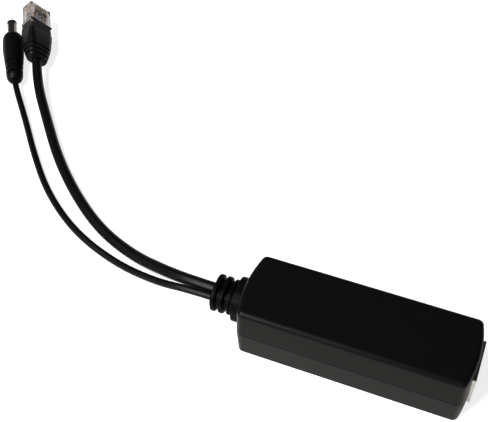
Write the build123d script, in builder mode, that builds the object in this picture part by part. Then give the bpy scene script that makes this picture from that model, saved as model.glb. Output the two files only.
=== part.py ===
"""PoE splitter: a two-shell plastic case with a network jack in one end and two cords out of the other.

Frame: the origin is the centre of the case's underside, +Z is up, +X runs along the case towards the
jack, and the cords leave from the -X end. Lengths are millimetres, angles are degrees.
"""
from build123d import *
from math import cos, pi, radians, sin, tan
import os

os.makedirs("parts", exist_ok=True)

# Case
case_length = 82.0
case_width = 28.0
case_height = 23.0
parting_drop = 0.5
end_bow = 2.1
corner_radius = 2.6
draft_angle = 2.5
top_fillet = 1.8
bottom_fillet = 0.5
shadow_gap = 0.25
wall = 1.8
tongue_thickness = 0.8
tongue_height = 1.0
slip_gap = 0.1
cut_over = 1.0

# Dimple in the lid
dimple_x = -27.4
dimple_y = -3.2
dimple_radius = 0.8
dimple_depth = 0.25
dimple_taper = 30

# Circuit board and the posts that hold it
board_thickness = 1.6
board_top = 5.5
board_side_gap = 0.6
board_front_gap = 0.5
board_rear_gap = 1.6
post_stations = (9.0, 46.0)
post_inset = 1.8
pillar_radius = 1.8
locating_pin_radius = 0.8
locating_pin_height = 2.4
hold_down_radius = 1.5

# Network jack
jack_width = 16.0
jack_depth = 21.3
jack_proud = 0.2
jack_headroom = 2.2
shield_sheet = 0.3
shield_frame = 1.55
shield_lip = 0.9
port_width = 11.9
port_floor = 3.8
port_roof = 0.4
port_depth = 13.5
latch_slot_width = 6.5
latch_slot_depth = 1.4
latch_notch_width = 4.0
latch_notch_depth = 1.0
peg_radius = 1.6
peg_spacing = 11.43
peg_back = 8.9
peg_length = 2.4
contact_count = 8
contact_pitch = 1.02
jack_wire_width = 0.45
jack_wire_thickness = 0.35
carrier_depth = 5.8
carrier_side = 0.8
roof_plate_reach = 10.7
roof_channel_height = 2.0
spring_front_back = 2.6
spring_tip_back = 11.7
spring_drop_share = 0.34
tail_rows = (1.5, 3.5)
tail_length = 2.2
bend_radius = 0.5

# Strain relief moulded round both cords
data_cord_diameter = 4.4
dc_cord_diameter = 2.8
data_cord_y = 1.3
dc_cord_y = -2.4
cord_drop = 0.2
rib_width = 13.0
rib_height = 11.8
rib_corner_share = 0.415
rib_thickness = 1.7
rib_pitch = 3.0
rib_edge = 0.45
groove_depth = 1.3
shallow_groove_depth = 0.7
last_rib_thickness = 1.4
last_rib_setback = 0.3
last_groove_width = 0.75
rib_count = 3
outer_flange_extra = (2.2, 3.8)
outer_flange_thickness = 2.95
neck_inset = 1.0
inner_flange_extra = (0.4, 1.2)
inner_flange_thickness = 1.3

# Conductors inside the case
data_wire_diameter = 0.9
data_wire_circle = 1.45
dc_wire_diameter = 1.1
dc_wire_spacing = 1.2
wire_pad_pitch = 2.2
wire_row_stations = (2.3, 5.3)
wire_lead_out = 1.2
wire_drop = (0.8, 0.0)
dc_pad_y = -5.4
wire_bend = 0.7

# Free cords, as points along each route from the strain relief to the plug
arc_share = 0.45
data_cord_points = [
    (-62.0, 1.3, 10.8),
    (-75.5, 4.3, 7.6),
    (-91.0, 9.4, 3.2),
    (-108.5, 16.8, 2.2),
    (-126.0, 29.2, 2.2),
    (-143.5, 45.4, 2.2),
    (-159.5, 64.2, 2.4),
]
data_cord_lead_in = 14.0
dc_cord_points = [
    (-62.0, -2.4, 10.8),
    (-75.2, -1.1, 7.0),
    (-95.6, 4.3, 2.0),
    (-117.8, 12.8, 1.4),
    (-138.1, 27.0, 1.4),
    (-154.7, 44.5, 1.4),
    (-167.0, 59.3, 1.6),
]
dc_cord_lead_in = 3.0

# Network plug on the thick cord
plug_nose = (-196.8, 122.5, 9.3)
plug_yaw = 29.1
plug_pitch = 6.0
plug_roll = 49.0
plug_width = 11.7
plug_height = 6.5
plug_length = 21.5
plug_edge = 0.4
blade_thickness = 0.35
blade_length = 5.6
blade_height = 2.6
blade_setback = 0.6
blade_depth = 0.5
blade_slot_gap = 0.05
plug_wire_diameter = 0.9
plug_wire_start = 1.6
plug_chamber_width = 9.2
plug_chamber_front = 9.6
plug_jacket_front = 10.4
latch_width = 6.2
latch_tail_width = 3.4
latch_thickness = 1.0
latch_root = 1.2
latch_shoulder = 8.2
latch_reach = 14.6
latch_rise = 3.4
boot_start = 11.0
boot_flap_thickness = 0.45
boot_bar_length = 1.2
boot_notches = ((-1, 2.3, 2.0), (1, 1.0, 4.7))
boot_side_start = 12.8
boot_side_thickness = 0.3
boot_body_start = 16.9
boot_widest = 21.5
boot_end = 33.0
boot_front_walls = (0.35, 0.85)
boot_widest_walls = (0.6, 1.0)
boot_end_walls = (2.7, 0.8)
boot_corners = (1.8, 2.4, 2.8)
boot_groove_count = 3
boot_groove_first = 26.4
boot_groove_pitch = 2.3
boot_groove_width = 0.95
boot_groove_depth = 0.55

# DC plug on the thin cord
dc_plug_rear = (-184.7, 80.0, 3.6)
dc_plug_yaw = 32.2
dc_plug_pitch = 4.0
dc_grip_length = 29.5
dc_grip_shape = [(0, 2.5), (0.04, 3.3), (0.17, 3.8), (0.41, 4.3), (0.68, 4.8), (0.865, 4.75), (0.966, 4.2)]
dc_grip_front_radius = 3.3
dc_groove_count = 3
dc_groove_first = 3.2
dc_groove_pitch = 3.4
dc_groove_width = 1.1
dc_groove_depth = 0.5
barrel_radius = 2.375
barrel_length = 9.5
barrel_wall = 0.4
barrel_root = 4.0
tip_ring_length = 1.6
pin_socket_outer_radius = 1.25
pin_socket_bore_radius = 0.85
pin_socket_setback = 0.5
pin_socket_depth = 9.0

# Parts on the board: stations along it from its rear edge, drawn for this much room before the jack,
# this board width and this room above it
layout_length = 55.4
layout_width = 23.2
layout_room = 15.7
package_edge = 0.3
package_lift = 0.1
lead_thickness = 0.25
lead_foot = 0.6
lead_reach = 0.9
lead_level = 0.4
lan_module_place = (45.5, -1.6)
lan_module_size = (12.4, 9.4, 5.4)
lan_module_lead_count = 8
lan_module_leads = (1.27, 0.45)
bridge_places = ((38.9, 8.2), (51.5, 8.2))
bridge_size = (4.0, 3.9, 2.4)
bridge_lead_count = 2
bridge_leads = (2.54, 0.6)
controller_place = (35.7, -8.0)
controller_size = (4.9, 3.9, 1.6)
controller_lead_count = 4
controller_leads = (1.27, 0.4)
optocoupler_place = (18.3, -0.6)
optocoupler_size = (4.4, 2.6, 2.2)
optocoupler_lead_count = 2
optocoupler_leads = (2.54, 0.4)
diode_place = (8.9, -1.6)
diode_size = (4.3, 2.6, 2.2)
diode_lead_count = 1
diode_leads = (0, 1.6)
transformer_place = (28.5, 3.2)
core_width = 13.2
core_depth = 6.2
core_half_height = 5.6
core_back = 2.2
core_leg = 2.2
core_post = 3.4
core_lift = 2.1
bobbin_wall = 0.5
bobbin_gap = 0.15
bobbin_reach = 6.2
rail_inner = 3.4
winding_corner = 1.6
inlet_capacitor_place = (15.5, 6.4)
inlet_capacitor_size = (4.0, 12.0)
outlet_capacitor_places = ((13.9, -6.6), (20.5, -6.6))
outlet_capacitor_size = (3.15, 11.0)
can_groove_height = 1.5
can_groove_width = 0.6
can_groove_depth = 0.3
can_edge = 0.5
choke_place = (28.1, -7.2)
choke_radius = 3.9
choke_post_radius = 2.0
choke_height = 7.5
choke_flange = 1.2
choke_winding_radius = 3.5
suppressor_place = (51.7, -9.6)
suppressor_radius = 3.2
suppressor_thickness = 2.6
suppressor_edge = 0.6
suppressor_lead_radius = 0.3
suppressor_lead_spacing = 4.0
suppressor_lift = 1.0


def save_piece(piece, label):
    """Names one finished piece and writes it to its own file."""
    piece.part.label = label
    export_step(piece.part, f"parts/{label}.step")


# Heights and the board's place inside the case
parting_height = case_height / 2 - parting_drop
cord_height = parting_height - cord_drop
inner_end_x = case_length / 2 - wall
lid_inside = case_height - wall
floor_inside = wall
board_bottom = board_top - board_thickness
board_width = case_width - 2 * (wall + board_side_gap)
board_front_x = inner_end_x - end_bow - board_front_gap
board_rear_x = board_rear_gap + end_bow - inner_end_x
board_length = board_front_x - board_rear_x
post_y = board_width / 2 - post_inset
jack_height = lid_inside - jack_headroom - board_top
jack_front = case_length / 2 + jack_proud
jack_middle_z = board_top + jack_height / 2
jack_back_x = jack_front - jack_depth

# Units of the layout along and across the board, upwards, and for what is round
unit_x = (jack_back_x - board_rear_x) / layout_length
unit_y = board_width / layout_width
unit_z = (lid_inside - board_top) / layout_room
unit_round = min(unit_x, unit_y)


def on_board(place):
    """Place on the board of something drawn at a station and a distance from the middle line."""
    station, across = place
    return board_rear_x + station * unit_x, across * unit_y


post_x = [board_rear_x + station * unit_x for station in post_stations]
post_places = [(x, side * post_y) for x in post_x for side in (-1, 1)]
end_hole_length = wall + end_bow + cut_over


def across_case(x, z=parting_height):
    """Plane across the case at a distance along it, with its own x along +Y and its own y up."""
    return Plane(origin=(x, 0, z), x_dir=(0, 1, 0), z_dir=(1, 0, 0))


def case_outline(inset):
    """Plan of the case at the parting line, with straight sides and bowed ends, drawn inset by a distance."""
    half_length = case_length / 2 - inset
    half_width = case_width / 2 - inset
    straight = half_length - end_bow
    with BuildSketch() as outline:
        with BuildLine():
            Line((-straight, -half_width), (straight, -half_width))
            ThreePointArc((straight, -half_width), (half_length, 0), (straight, half_width))
            Line((straight, half_width), (-straight, half_width))
            ThreePointArc((-straight, half_width), (-half_length, 0), (-straight, -half_width))
        make_face()
        fillet(outline.vertices(), corner_radius - inset if inset < wall else corner_radius - wall)
    return outline.sketch


outer_outline = case_outline(0)
cavity_outline = case_outline(wall)
tongue_outline = case_outline(wall - tongue_thickness)
groove_outline = case_outline(wall - tongue_thickness - slip_gap)
shadow_outline = case_outline(shadow_gap)
parting_up = Plane.XY.offset(parting_height)
parting_down = Plane(origin=(0, 0, parting_height), x_dir=(1, 0, 0), z_dir=(0, 0, -1))
neck_width = rib_width - 2 * neck_inset
neck_height = rib_height - 2 * neck_inset
neck_corner = neck_height * rib_corner_share

# Lower shell: tapered tray with a tongue round its rim, pillars and pins for the board
with BuildPart() as lower_shell:
    with BuildSketch(parting_down):
        add(outer_outline)
    extrude(amount=parting_height, taper=draft_angle)
    fillet(lower_shell.faces().sort_by(Axis.Z)[0].edges(), bottom_fillet)
    with BuildSketch(parting_up):
        add(tongue_outline)
    extrude(amount=tongue_height)
    with BuildSketch(parting_down):
        add(cavity_outline)
    extrude(amount=parting_height - wall, taper=draft_angle, mode=Mode.SUBTRACT)
    with BuildSketch(parting_up):
        add(cavity_outline)
    extrude(amount=tongue_height, mode=Mode.SUBTRACT)
    with BuildSketch(Plane.XY.offset(floor_inside)):
        with Locations(post_places):
            Circle(pillar_radius)
    extrude(amount=board_bottom - floor_inside)
    with BuildSketch(Plane.XY.offset(board_bottom)):
        with Locations(post_places):
            Circle(locating_pin_radius)
    extrude(amount=board_thickness + locating_pin_height)
    with BuildSketch(across_case(-case_length / 2 - cut_over)):
        RectangleRounded(neck_width + 2 * slip_gap, neck_height + 2 * slip_gap, neck_corner)
    extrude(amount=end_hole_length, mode=Mode.SUBTRACT)
    with BuildSketch(across_case(inner_end_x - end_bow, jack_middle_z)):
        Rectangle(jack_width + 2 * slip_gap, jack_height + 2 * slip_gap)
    extrude(amount=end_hole_length, mode=Mode.SUBTRACT)
save_piece(lower_shell, "lower_shell")

# Upper shell: tapered lid with a groove for the tongue, hold-down posts and a small dimple on top
with BuildPart() as upper_shell:
    with BuildSketch(parting_up):
        add(outer_outline)
    extrude(amount=case_height - parting_height, taper=draft_angle)
    fillet(upper_shell.faces().sort_by(Axis.Z)[-1].edges(), top_fillet)
    with BuildSketch(parting_up):
        add(outer_outline)
        add(shadow_outline, mode=Mode.SUBTRACT)
    extrude(amount=shadow_gap, mode=Mode.SUBTRACT)
    with BuildSketch(parting_up):
        add(cavity_outline)
    extrude(amount=lid_inside - parting_height, taper=draft_angle, mode=Mode.SUBTRACT)
    with BuildSketch(parting_up):
        add(groove_outline)
    extrude(amount=tongue_height + slip_gap, mode=Mode.SUBTRACT)
    with BuildSketch(Plane.XY.offset(board_top + slip_gap)):
        with Locations(post_places):
            Circle(hold_down_radius)
    extrude(amount=lid_inside - board_top - slip_gap)
    with BuildSketch(Plane.XY.offset(board_top + slip_gap)):
        with Locations(post_places):
            Circle(locating_pin_radius + slip_gap)
    extrude(amount=locating_pin_height + slip_gap, mode=Mode.SUBTRACT)
    with BuildSketch(across_case(-case_length / 2 - cut_over)):
        RectangleRounded(neck_width + 2 * slip_gap, neck_height + 2 * slip_gap, neck_corner)
    extrude(amount=end_hole_length, mode=Mode.SUBTRACT)
    with BuildSketch(across_case(inner_end_x - end_bow, jack_middle_z)):
        Rectangle(jack_width + 2 * slip_gap, jack_height + 2 * slip_gap)
    extrude(amount=end_hole_length, mode=Mode.SUBTRACT)
    with BuildSketch(Plane.XY.offset(case_height)):
        with Locations((dimple_x, dimple_y)):
            Circle(dimple_radius)
    extrude(amount=-dimple_depth, taper=dimple_taper, mode=Mode.SUBTRACT)
save_piece(upper_shell, "upper_shell")

# Solid envelope of the closed case, used to trim what seats on its outside
with BuildPart() as case_envelope:
    with BuildSketch(parting_down):
        add(outer_outline)
    extrude(amount=parting_height, taper=draft_angle)
    with BuildSketch(parting_up):
        add(outer_outline)
    extrude(amount=case_height - parting_height, taper=draft_angle)


def rounded_plate(x, width, height, corner, thickness, edge):
    """Rounded plate across the case, with both of its rims eased."""
    with BuildPart() as plate:
        with BuildSketch(across_case(x)):
            RectangleRounded(width, height, corner)
        extrude(amount=thickness)
        fillet(plate.faces().filter_by(Axis.X).edges(), edge)
    return plate.part


# Strain relief: ribs in front of the case, a flange on each side of its end wall and a neck between them
rib_corner = rib_height * rib_corner_share
outer_flange_width = rib_width + outer_flange_extra[0]
outer_flange_height = rib_height + outer_flange_extra[1]
inner_flange_width = rib_width + inner_flange_extra[0]
inner_flange_height = rib_height + inner_flange_extra[1]
end_wall_x = -case_length / 2
outer_flange_x = end_wall_x - outer_flange_thickness
last_rib_x = outer_flange_x - last_groove_width - last_rib_thickness
gland_mouth_x = last_rib_x - (rib_count - 1) * rib_pitch
end_taper = inner_flange_height / 2 * tan(radians(draft_angle))
inner_flange_x = -inner_end_x + end_bow / 4 + end_taper + slip_gap
gland_inner_x = inner_flange_x + inner_flange_thickness
ribs = [
    rounded_plate(gland_mouth_x + k * rib_pitch, rib_width, rib_height, rib_corner, rib_thickness, rib_edge)
    for k in range(rib_count - 1)
]
last_rib = rounded_plate(
    last_rib_x,
    rib_width - 2 * last_rib_setback,
    rib_height - 2 * last_rib_setback,
    rib_corner - last_rib_setback,
    last_rib_thickness,
    rib_edge,
)
outer_flange = rounded_plate(
    outer_flange_x,
    outer_flange_width,
    outer_flange_height,
    outer_flange_height * rib_corner_share,
    outer_flange_thickness + end_bow / 2,
    rib_edge,
)

with BuildPart() as cable_gland:
    add(ribs)
    add(last_rib)
    with BuildSketch(across_case(gland_mouth_x + rib_edge)):
        RectangleRounded(
            rib_width - 2 * groove_depth,
            rib_height - 2 * groove_depth,
            rib_corner - groove_depth,
        )
    extrude(amount=last_rib_x - gland_mouth_x)
    with BuildSketch(across_case(last_rib_x + rib_edge)):
        RectangleRounded(
            rib_width - 2 * shallow_groove_depth,
            rib_height - 2 * shallow_groove_depth,
            rib_corner - shallow_groove_depth,
        )
    extrude(amount=outer_flange_x - last_rib_x)
    add(outer_flange)
    add(case_envelope.part, mode=Mode.SUBTRACT)
    with BuildSketch(across_case(outer_flange_x + rib_edge)):
        RectangleRounded(neck_width, neck_height, neck_corner)
    extrude(amount=inner_flange_x - outer_flange_x)
    with BuildSketch(across_case(inner_flange_x)):
        RectangleRounded(inner_flange_width, inner_flange_height, rib_corner)
    extrude(amount=inner_flange_thickness)
save_piece(cable_gland, "cable_gland")

# Circuit board, with holes for the locating pins, the jack's pegs and the tails of its contacts
peg_x = jack_front - peg_back
contact_y = [(k - (contact_count - 1) / 2) * contact_pitch for k in range(contact_count)]
tail_x = [jack_back_x + tail_rows[k % 2] for k in range(contact_count)]

with BuildPart() as circuit_board:
    with BuildSketch(Plane.XY.offset(board_bottom)):
        with Locations(((board_front_x + board_rear_x) / 2, 0)):
            Rectangle(board_length, board_width)
        with Locations(post_places):
            Circle(locating_pin_radius + slip_gap, mode=Mode.SUBTRACT)
        with Locations([(peg_x, y * peg_spacing / 2) for y in (-1, 1)]):
            Circle(peg_radius + slip_gap, mode=Mode.SUBTRACT)
        with Locations(list(zip(tail_x, contact_y))):
            Circle(jack_wire_width, mode=Mode.SUBTRACT)
    extrude(amount=board_thickness)
save_piece(circuit_board, "circuit_board")

# Jack shield: one folded sheet, open underneath, with a window for the port in front
with BuildPart() as jack_shield:
    with Locations((jack_back_x, 0, board_top)):
        Box(jack_depth, jack_width, jack_height, align=(Align.MIN, Align.CENTER, Align.MIN))
    fillet(jack_shield.edges().filter_by(Axis.X).group_by(Axis.Z)[-1], shield_sheet)
    with Locations((jack_back_x + shield_sheet, 0, board_top)):
        Box(
            jack_depth - 2 * shield_sheet,
            jack_width - 2 * shield_sheet,
            jack_height - shield_sheet,
            align=(Align.MIN, Align.CENTER, Align.MIN),
            mode=Mode.SUBTRACT,
        )
    with Locations((jack_front - shield_sheet, 0, board_top + shield_lip)):
        Box(
            2 * shield_sheet,
            jack_width - 2 * shield_frame,
            jack_height - shield_frame - shield_lip,
            align=(Align.CENTER, Align.CENTER, Align.MIN),
            mode=Mode.SUBTRACT,
        )
save_piece(jack_shield, "jack_shield")

# Jack contacts: each rises from the board, runs forward under the roof and springs back into the port
housing_height = jack_height - shield_sheet - slip_gap
port_height = housing_height - port_floor - roof_channel_height - port_roof + slip_gap
port_roof_z = board_top + port_floor + port_height
channel_roof_z = port_roof_z + roof_channel_height
roof_wire_z = port_roof_z + roof_channel_height / 2
spring_tip_z = port_roof_z - spring_drop_share * port_height


def bent_strip(plane, points, width, thickness):
    """Flat strip along a path drawn on an upright plane, with its width across that plane."""
    with BuildPart() as strip:
        with BuildLine(plane) as path:
            FilletPolyline(*points, radius=bend_radius)
        with BuildSketch(Plane(origin=path.line @ 0, x_dir=plane.z_dir, z_dir=path.line % 0)):
            Rectangle(width, thickness)
        sweep()
    return strip


contacts = []
for k in range(contact_count):
    jack_contact = bent_strip(
        Plane.XZ.offset(-contact_y[k]),
        [
            (tail_x[k], board_top - tail_length),
            (tail_x[k], roof_wire_z),
            (jack_front - spring_front_back, roof_wire_z),
            (jack_front - spring_tip_back, spring_tip_z),
        ],
        jack_wire_width,
        jack_wire_thickness,
    )
    save_piece(jack_contact, f"jack_contact_{k + 1}")
    contacts.append(jack_contact.part)

# Contact carrier: the insert that the contacts are moulded into, behind the port and over its roof
carrier_x = jack_back_x + shield_sheet + slip_gap
carrier_width = (contact_count - 1) * contact_pitch + jack_wire_width + 2 * carrier_side

with BuildPart() as jack_contact_carrier:
    with Locations((carrier_x, 0, board_top)):
        Box(
            carrier_depth,
            carrier_width,
            channel_roof_z - slip_gap - board_top,
            align=(Align.MIN, Align.CENTER, Align.MIN),
        )
    with Locations((carrier_x + carrier_depth, 0, port_roof_z + slip_gap)):
        Box(
            roof_plate_reach,
            carrier_width,
            roof_channel_height - 2 * slip_gap,
            align=(Align.MIN, Align.CENTER, Align.MIN),
        )
    add(contacts, mode=Mode.SUBTRACT)
save_piece(jack_contact_carrier, "jack_contact_carrier")

# Jack housing: plastic block with the stepped port, the latch slot and two pegs into the board
housing_back_x = jack_back_x + shield_sheet + slip_gap
housing_length = jack_depth - 2 * shield_sheet - 2 * slip_gap
housing_front_x = housing_back_x + housing_length
housing_width = jack_width - 2 * shield_sheet - 2 * slip_gap
port_back_x = housing_front_x - port_depth
slot_profiles = (
    (port_width, port_floor, port_floor + port_height),
    (latch_slot_width, port_floor - latch_slot_depth, port_floor),
    (latch_notch_width, port_floor - latch_slot_depth - latch_notch_depth, port_floor - latch_slot_depth),
)

with BuildPart() as jack_housing:
    with Locations((housing_back_x, 0, board_top)):
        Box(housing_length, housing_width, housing_height, align=(Align.MIN, Align.CENTER, Align.MIN))
    for slot_width, slot_low, slot_high in slot_profiles:
        with Locations((port_back_x, 0, board_top + slot_low)):
            Box(
                port_depth,
                slot_width,
                slot_high - slot_low,
                align=(Align.MIN, Align.CENTER, Align.MIN),
                mode=Mode.SUBTRACT,
            )
    with Locations((housing_back_x, 0, board_top)):
        Box(
            carrier_depth + slip_gap,
            carrier_width + 2 * slip_gap,
            channel_roof_z - board_top,
            align=(Align.MIN, Align.CENTER, Align.MIN),
            mode=Mode.SUBTRACT,
        )
    with Locations((housing_back_x, 0, port_roof_z)):
        Box(
            jack_front - spring_front_back + cut_over - housing_back_x,
            carrier_width + 2 * slip_gap,
            roof_channel_height,
            align=(Align.MIN, Align.CENTER, Align.MIN),
            mode=Mode.SUBTRACT,
        )
    with BuildSketch(Plane.XY.offset(board_top - peg_length)):
        with Locations([(peg_x, y * peg_spacing / 2) for y in (-1, 1)]):
            Circle(peg_radius)
    extrude(amount=peg_length)
save_piece(jack_housing, "jack_housing")


def leaded_package(place, size, count, leads):
    """Moulded package standing on the board, with a row of bent leads along each of its long sides."""
    x, y = on_board(place)
    length, width, height = size[0] * unit_x, size[1] * unit_y, size[2] * unit_z
    pitch, lead_width = leads[0] * unit_x, leads[1] * unit_x
    exit_height = package_lift + lead_level * height
    bend_at = (lead_reach - lead_foot) * unit_y
    lead_planes = [
        Plane(
            origin=(x + (k - (count - 1) / 2) * pitch - lead_width / 2, y + width / 2, board_top),
            x_dir=(0, 1, 0),
            z_dir=(1, 0, 0),
        )
        for k in range(count)
    ]
    with BuildPart() as package:
        with Locations((x, y, board_top + package_lift)):
            Box(length, width, height, align=(Align.CENTER, Align.CENTER, Align.MIN))
        chamfer(package.faces().sort_by(Axis.Z)[-1].edges(), package_edge)
        with BuildSketch(*lead_planes):
            Polygon(
                (-lead_thickness, exit_height),
                (bend_at, exit_height),
                (bend_at, 0),
                (lead_reach * unit_y, 0),
                (lead_reach * unit_y, lead_thickness),
                (bend_at + lead_thickness, lead_thickness),
                (bend_at + lead_thickness, exit_height + lead_thickness),
                (-lead_thickness, exit_height + lead_thickness),
                align=None,
            )
        extrude(amount=lead_width)
        mirror(about=Plane.XZ.offset(-y))
    return package


# Packages with bent leads: signal transformer module, two bridges, controller, optocoupler and diode
packages = (
    ("lan_module", lan_module_place, lan_module_size, lan_module_lead_count, lan_module_leads),
    ("bridge_rectifier_1", bridge_places[0], bridge_size, bridge_lead_count, bridge_leads),
    ("bridge_rectifier_2", bridge_places[1], bridge_size, bridge_lead_count, bridge_leads),
    ("controller_chip", controller_place, controller_size, controller_lead_count, controller_leads),
    ("optocoupler", optocoupler_place, optocoupler_size, optocoupler_lead_count, optocoupler_leads),
    ("rectifier_diode", diode_place, diode_size, diode_lead_count, diode_leads),
)
for label, place, size, count, leads in packages:
    save_piece(leaded_package(place, size, count, leads), label)

# Power transformer: two E cores that meet in the middle, a bobbin on their post and the winding on it
transformer_x, transformer_y = on_board(transformer_place)
core_bottom = board_top + core_lift * unit_z
core_middle = core_bottom + core_half_height * unit_z
core_top = core_middle + core_half_height * unit_z
back_height = core_back * unit_z
window_bottom = core_bottom + back_height
window_top = core_top - back_height
core_length = core_width * unit_x
post_length = core_post * unit_x
leg_length = core_leg * unit_x
core_breadth = core_depth * unit_y
window_width = (core_length - 2 * leg_length - post_length) / 2
bobbin_half_width = post_length / 2 + window_width - bobbin_gap
bobbin_half_breadth = bobbin_reach * unit_y
rail_breadth = (bobbin_reach - rail_inner) * unit_y
tube_width = post_length + 2 * bobbin_gap + 2 * bobbin_wall
tube_depth = core_breadth + 2 * bobbin_gap + 2 * bobbin_wall
winding_build = bobbin_half_width - tube_width / 2

on_its_foot = (Align.CENTER, Align.CENTER, Align.MIN)
for label, low, back_low in (
    ("transformer_core_lower", core_bottom, core_bottom),
    ("transformer_core_upper", core_middle, window_top),
):
    with BuildPart() as core_half:
        with Locations((transformer_x, transformer_y, back_low)):
            Box(core_length, core_breadth, back_height, align=on_its_foot)
        with Locations((transformer_x, transformer_y, low)):
            Box(post_length, core_breadth, core_middle - core_bottom, align=on_its_foot)
        leg_offset = (core_length - leg_length) / 2
        with Locations([(transformer_x + side * leg_offset, transformer_y, low) for side in (-1, 1)]):
            Box(leg_length, core_breadth, core_middle - core_bottom, align=on_its_foot)
    save_piece(core_half, label)

with BuildPart() as transformer_bobbin:
    with Locations((transformer_x, transformer_y, window_bottom)):
        Box(tube_width, tube_depth, window_top - window_bottom, align=on_its_foot)
    with Locations(
        (transformer_x, transformer_y, window_bottom),
        (transformer_x, transformer_y, window_top - bobbin_wall),
    ):
        Box(2 * bobbin_half_width, 2 * bobbin_half_breadth, bobbin_wall, align=on_its_foot)
    rail_offset = bobbin_half_breadth - rail_breadth / 2
    with Locations([(transformer_x, transformer_y + side * rail_offset, board_top) for side in (-1, 1)]):
        Box(2 * bobbin_half_width, rail_breadth, window_bottom - board_top, align=on_its_foot)
    with Locations((transformer_x, transformer_y, window_bottom)):
        Box(
            post_length + 2 * bobbin_gap,
            core_breadth + 2 * bobbin_gap,
            window_top - window_bottom,
            align=on_its_foot,
            mode=Mode.SUBTRACT,
        )
save_piece(transformer_bobbin, "transformer_bobbin")

with BuildPart() as transformer_winding:
    with BuildSketch(Plane.XY.offset(window_bottom + bobbin_wall)):
        with Locations((transformer_x, transformer_y)):
            RectangleRounded(2 * bobbin_half_width, tube_depth + 2 * winding_build, winding_corner)
            Rectangle(tube_width, tube_depth, mode=Mode.SUBTRACT)
    extrude(amount=window_top - window_bottom - 2 * bobbin_wall)
save_piece(transformer_winding, "transformer_winding")


def capacitor(place, size):
    """Upright can with a rolled groove near its foot and a rounded top edge."""
    middle = on_board(place)
    radius, height = size[0] * unit_round, size[1] * unit_z
    with BuildPart() as can:
        with BuildSketch(Plane.XY.offset(board_top)):
            with Locations(middle):
                Circle(radius)
        extrude(amount=height)
        chamfer(can.faces().sort_by(Axis.Z)[-1].edges(), can_edge)
        with BuildSketch(Plane.XY.offset(board_top + can_groove_height)):
            with Locations(middle):
                Circle(radius)
                Circle(radius - can_groove_depth, mode=Mode.SUBTRACT)
        extrude(amount=can_groove_width, mode=Mode.SUBTRACT)
    return can


# Storage capacitors: one on the network side and two on the outlet side
save_piece(capacitor(inlet_capacitor_place, inlet_capacitor_size), "inlet_capacitor")
for k in range(len(outlet_capacitor_places)):
    save_piece(capacitor(outlet_capacitor_places[k], outlet_capacitor_size), f"outlet_capacitor_{k + 1}")

# Choke: ferrite spool with a copper winding between its flanges
choke_middle = on_board(choke_place)
choke_flange_height = choke_flange * unit_z
choke_window_height = (choke_height - 2 * choke_flange) * unit_z
with BuildPart() as choke_core:
    with BuildSketch(Plane.XY.offset(board_top)):
        with Locations(choke_middle):
            Circle(choke_radius * unit_round)
    extrude(amount=choke_flange_height)
    with BuildSketch(Plane.XY.offset(board_top + choke_flange_height)):
        with Locations(choke_middle):
            Circle(choke_post_radius * unit_round)
    extrude(amount=choke_window_height)
    with BuildSketch(Plane.XY.offset(board_top + choke_flange_height + choke_window_height)):
        with Locations(choke_middle):
            Circle(choke_radius * unit_round)
    extrude(amount=choke_flange_height)
save_piece(choke_core, "choke_core")

with BuildPart() as choke_winding:
    with BuildSketch(Plane.XY.offset(board_top + choke_flange_height)):
        with Locations(choke_middle):
            Circle(choke_winding_radius * unit_round)
            Circle(choke_post_radius * unit_round, mode=Mode.SUBTRACT)
    extrude(amount=choke_window_height)
save_piece(choke_winding, "choke_winding")

# Surge suppressor: standing disc on two wire leads
suppressor_x, suppressor_y = on_board(suppressor_place)
disc_radius = suppressor_radius * min(unit_round, unit_z)
disc_thickness = suppressor_thickness * unit_y
disc_middle_z = board_top + suppressor_lift + disc_radius
disc_lead_offset = suppressor_lead_spacing / 2 * unit_round
with BuildPart() as suppressor_disc:
    with BuildSketch(Plane.XZ.offset(-suppressor_y - disc_thickness / 2)):
        with Locations((suppressor_x, disc_middle_z)):
            Circle(disc_radius)
    extrude(amount=disc_thickness)
    chamfer(suppressor_disc.faces().filter_by(Axis.Y).edges(), suppressor_edge)
    with BuildSketch(Plane.XY.offset(board_top)):
        with Locations([(suppressor_x + side * disc_lead_offset, suppressor_y) for side in (-1, 1)]):
            Circle(suppressor_lead_radius)
    extrude(amount=disc_middle_z - board_top)
save_piece(suppressor_disc, "suppressor_disc")


def arc_path(points, radii):
    """Route through points, with straight runs joined by tangent arcs."""
    with BuildLine() as path:
        FilletPolyline(*points, radius=radii)
    return path.line


def round_wire(path, diameter):
    """Round wire or cord along a route, started square to its first run."""
    with BuildPart() as wire:
        with BuildSketch(Plane(origin=path @ 0, z_dir=path % 0)):
            Circle(diameter / 2)
        sweep(path=path)
    return wire


# Conductors inside the case, from the strain relief down to their pads on the board
wires_in_row = contact_count // 2
wire_rows_x = [board_rear_x + station for station in wire_row_stations]
for k in range(contact_count):
    row, column = divmod(k, wires_in_row)
    angle = (column + 0.5) * pi / wires_in_row * (1 if row else -1)
    start_y = data_cord_y + data_wire_circle * cos(angle)
    start_z = cord_height + data_wire_circle * sin(angle)
    pad_y = data_cord_y + ((wires_in_row - 1) / 2 - column) * wire_pad_pitch
    wire_path = arc_path(
        [
            (gland_inner_x, start_y, start_z),
            (gland_inner_x + wire_lead_out, start_y, start_z),
            (wire_rows_x[row], pad_y, start_z - wire_drop[row]),
            (wire_rows_x[row], pad_y, board_top),
        ],
        wire_bend,
    )
    save_piece(round_wire(wire_path, data_wire_diameter), f"data_wire_{k + 1}")

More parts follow.
